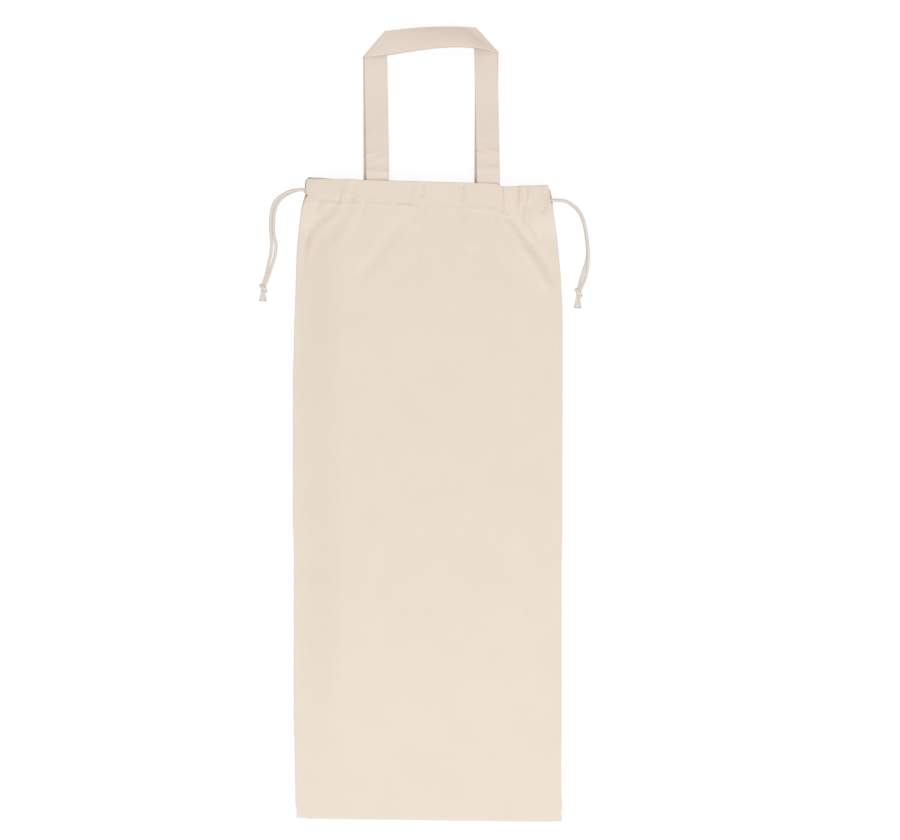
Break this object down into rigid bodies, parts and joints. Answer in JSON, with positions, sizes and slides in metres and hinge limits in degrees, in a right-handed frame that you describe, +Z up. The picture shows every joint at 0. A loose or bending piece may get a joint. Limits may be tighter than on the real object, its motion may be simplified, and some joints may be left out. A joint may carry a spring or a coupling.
{
  "type": "bread bag",
  "caption": "Long cotton drawstring bag for loaves, lying flat, with a gathered hem, strap handles folded at the corners and a knotted cord at each side.",
  "frame": {"origin": "on the ground under the middle of bag and handles, which lie flat on the bag's back panel", "axes": "+Y towards the mouth and the handles, +X across the bag to the right as seen from its front, +Z up out of the front panel"},
  "size_m": [0.334, 0.7954, 0.0157],
  "materials": {
    "canvas": "matte",
    "strap": "matte",
    "cord": "matte",
    "thread": "satin"
  },
  "bodies": {
    "bag": {"front_panel": "canvas", "back_panel": "canvas", "left_seam_thread": "thread", "right_seam_thread": "thread", "bottom_seam_thread": "thread", "front_hem_thread": "thread", "back_hem_thread": "thread", "front_handle_foot_left": "strap", "front_handle_foot_right": "strap", "front_handle_tack_left": "thread", "front_handle_tack_right": "thread", "back_handle_foot_left": "strap", "back_handle_foot_right": "strap", "back_handle_tack_left": "thread", "back_handle_tack_right": "thread", "left_cord_loop": "cord", "right_cord_loop": "cord"},
    "front_handle": {"front_handle": "strap"},
    "back_handle": {"back_handle": "strap"},
    "left_drawcord": {"left_front_tail": "cord", "left_back_tail": "cord", "left_knot": "cord"},
    "right_drawcord": {"right_front_tail": "cord", "right_back_tail": "cord", "right_knot": "cord"}
  },
  "joints": [
    {"name": "front_handle_swing", "type": "hinge", "parent": "bag", "child": "front_handle", "pos_m": [0, 0.2381, 0.0133], "axis": [0.9997, -0.0262, 0], "range_deg": [0, 177.5]},
    {"name": "back_handle_swing", "type": "hinge", "parent": "bag", "child": "back_handle", "pos_m": [0, 0.23935, 0.0024], "axis": [0.9993, -0.0365, 0], "range_deg": [-176, 0]},
    {"name": "left_cord_pull", "type": "slide", "parent": "bag", "child": "left_drawcord", "axis": [-1, 0, 0], "range_m": [0, 0.18]},
    {"name": "right_cord_pull", "type": "slide", "parent": "bag", "child": "right_drawcord", "axis": [1, 0, 0], "range_m": [0, 0.18]}
  ]
}
